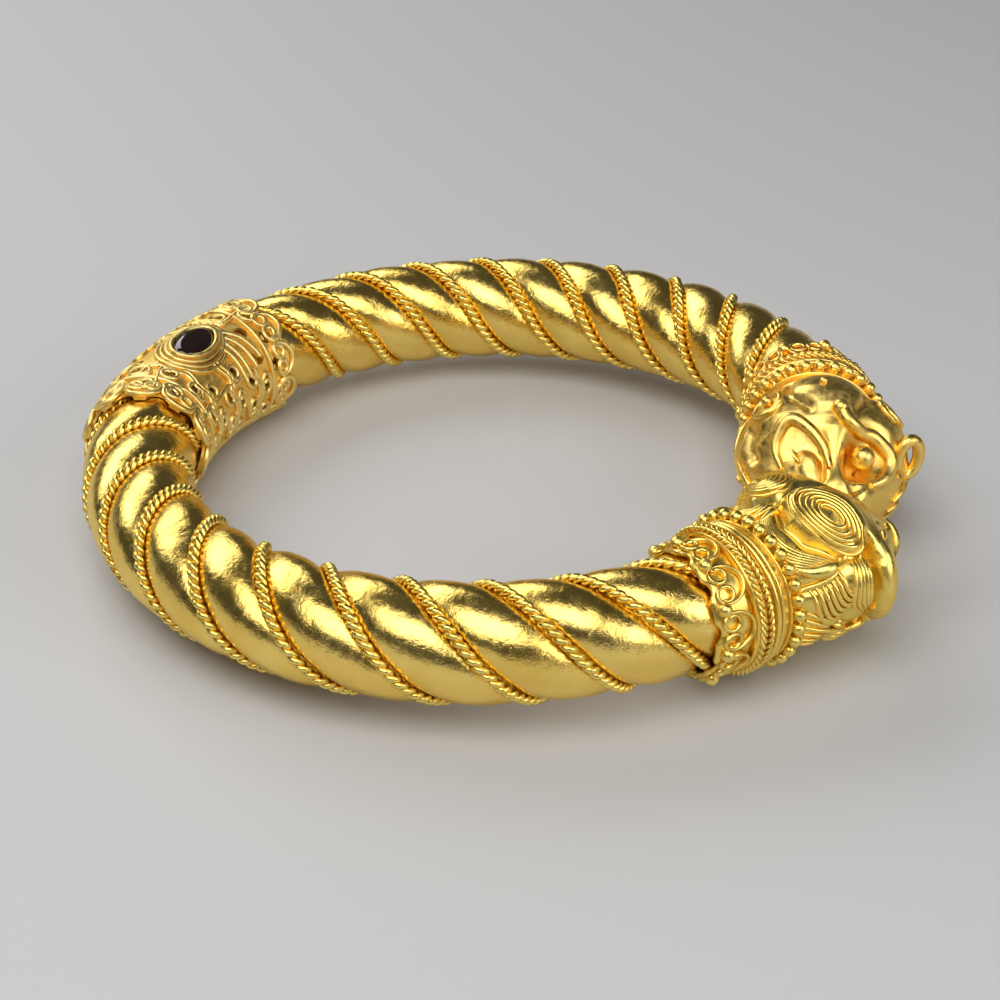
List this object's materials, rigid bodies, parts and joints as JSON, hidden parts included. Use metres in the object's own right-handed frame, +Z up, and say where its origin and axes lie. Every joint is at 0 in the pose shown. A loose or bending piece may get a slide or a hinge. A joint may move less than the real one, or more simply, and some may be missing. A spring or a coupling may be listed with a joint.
{
  "type": "animal head bracelet",
  "caption": "Open twisted gold bangle with facing lion-like heads, granulated filigree collars and a pierced sleeve set with a dark oval stone.",
  "frame": {"origin": "middle of the wrist opening, on the hoop's own centre plane, half way up the twisted tube", "axes": "+Z up, the bangle lies on its side; -Y towards the opening between the two heads; +Y towards the sleeve with the stone"},
  "size_m": [0.0786, 0.0822, 0.016],
  "materials": {
    "tube_gold": "polished",
    "rope_gold": "satin",
    "sleeve_gold": "satin",
    "collar_gold": "satin",
    "head_gold": "satin",
    "stone": "polished"
  },
  "bodies": {
    "root": {"hoop_left": "tube_gold", "hoop_right": "tube_gold", "groove_wire_left_1": "rope_gold", "groove_wire_left_2": "rope_gold", "groove_wire_left_3": "rope_gold", "groove_wire_right_1": "rope_gold", "groove_wire_right_2": "rope_gold", "groove_wire_right_3": "rope_gold", "sleeve": "sleeve_gold", "stone": "stone", "collar_left": "collar_gold", "collar_right": "collar_gold", "head_left": "head_gold", "head_right": "head_gold"}
  },
  "joints": []
}
